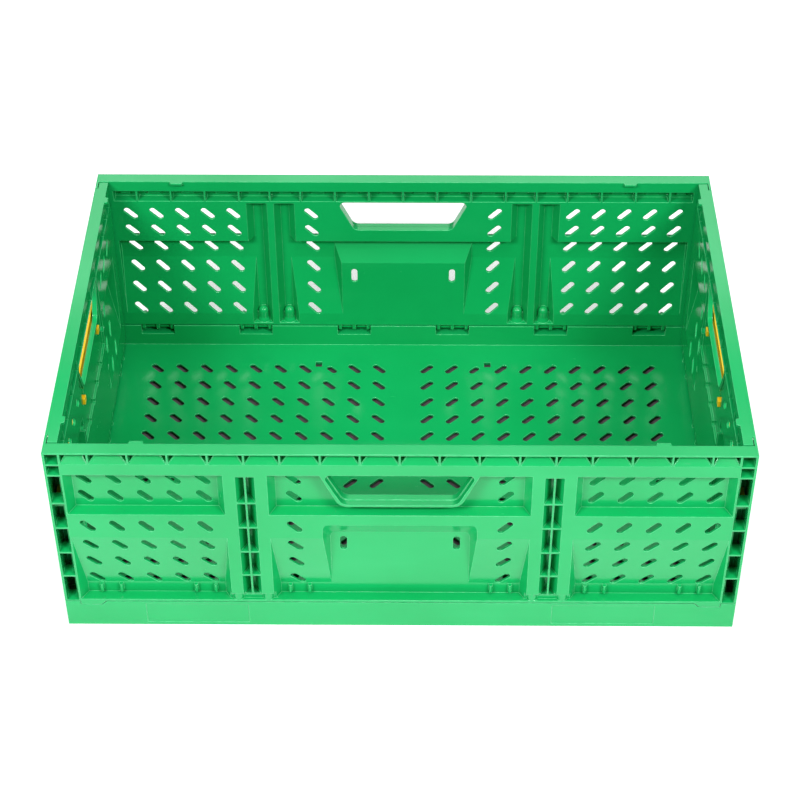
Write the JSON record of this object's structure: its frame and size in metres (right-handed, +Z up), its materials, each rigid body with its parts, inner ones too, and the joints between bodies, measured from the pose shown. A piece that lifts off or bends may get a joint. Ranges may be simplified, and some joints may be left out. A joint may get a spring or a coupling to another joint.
{
  "type": "folding storage crate",
  "caption": "Stackable folding crate with slotted, ribbed walls, hand holes and fold-in short walls released by spring-loaded pull bars",
  "frame": {"origin": "middle of the footprint, on the surface that the crate stands on", "axes": "+X along the long sides, +Y towards the rear long side, +Z up"},
  "size_m": [0.6, 0.4, 0.212],
  "materials": {
    "crate_green": "glossy moulded polypropylene, green",
    "latch_yellow": "glossy moulded plastic, yellow",
    "bolt_plastic": "moulded acetal, yellow",
    "spring_plastic": "moulded acetal leaf spring, natural",
    "pin_green": "moulded hinge pins, green"
  },
  "bodies": {
    "base": {"base_tray": "crate_green", "front_wall": "crate_green", "rear_wall": "crate_green", "front_hinge_pins": "pin_green", "rear_hinge_pins": "pin_green", "left_hinge_pins": "pin_green", "right_hinge_pins": "pin_green"},
    "left_side": {"left_wall": "crate_green", "left_latch_springs": "spring_plastic"},
    "left_handle": {"left_latch_handle": "latch_yellow"},
    "left_bolt_front": {"left_latch_bolt_front": "bolt_plastic"},
    "left_bolt_rear": {"left_latch_bolt_rear": "bolt_plastic"},
    "right_side": {"right_wall": "crate_green", "right_latch_springs": "spring_plastic"},
    "right_handle": {"right_latch_handle": "latch_yellow"},
    "right_bolt_front": {"right_latch_bolt_front": "bolt_plastic"},
    "right_bolt_rear": {"right_latch_bolt_rear": "bolt_plastic"}
  },
  "joints": [
    {"name": "left_wall_fold", "type": "hinge", "parent": "base", "child": "left_side", "pos_m": [-0.2932, 0, 0.0135], "axis": [0, 1, 0], "range_deg": [0, 90]},
    {"name": "left_handle_pull", "type": "slide", "parent": "left_side", "child": "left_handle", "axis": [0, 0, 1], "range_m": [0, 0.005], "stiffness_N_per_m": 900, "springref_m": -0.002, "deforming": ["left_latch_springs"]},
    {"name": "left_bolt_front_slide", "type": "slide", "parent": "left_side", "child": "left_bolt_front", "axis": [0, 1, 0], "range_m": [0, 0.004]},
    {"name": "left_bolt_rear_slide", "type": "slide", "parent": "left_side", "child": "left_bolt_rear", "axis": [0, -1, 0], "range_m": [0, 0.004]},
    {"name": "right_wall_fold", "type": "hinge", "parent": "base", "child": "right_side", "pos_m": [0.2932, 0, 0.0135], "axis": [0, -1, 0], "range_deg": [0, 90]},
    {"name": "right_handle_pull", "type": "slide", "parent": "right_side", "child": "right_handle", "axis": [0, 0, 1], "range_m": [0, 0.005], "stiffness_N_per_m": 900, "springref_m": -0.002, "deforming": ["right_latch_springs"]},
    {"name": "right_bolt_front_slide", "type": "slide", "parent": "right_side", "child": "right_bolt_front", "axis": [0, 1, 0], "range_m": [0, 0.004]},
    {"name": "right_bolt_rear_slide", "type": "slide", "parent": "right_side", "child": "right_bolt_rear", "axis": [0, -1, 0], "range_m": [0, 0.004]}
  ],
  "couplings": [
    {"joint": "left_bolt_front_slide", "follows": "left_handle_pull", "ratio": 0.8},
    {"joint": "left_bolt_rear_slide", "follows": "left_handle_pull", "ratio": 0.8},
    {"joint": "right_bolt_front_slide", "follows": "right_handle_pull", "ratio": 0.8},
    {"joint": "right_bolt_rear_slide", "follows": "right_handle_pull", "ratio": 0.8}
  ]
}
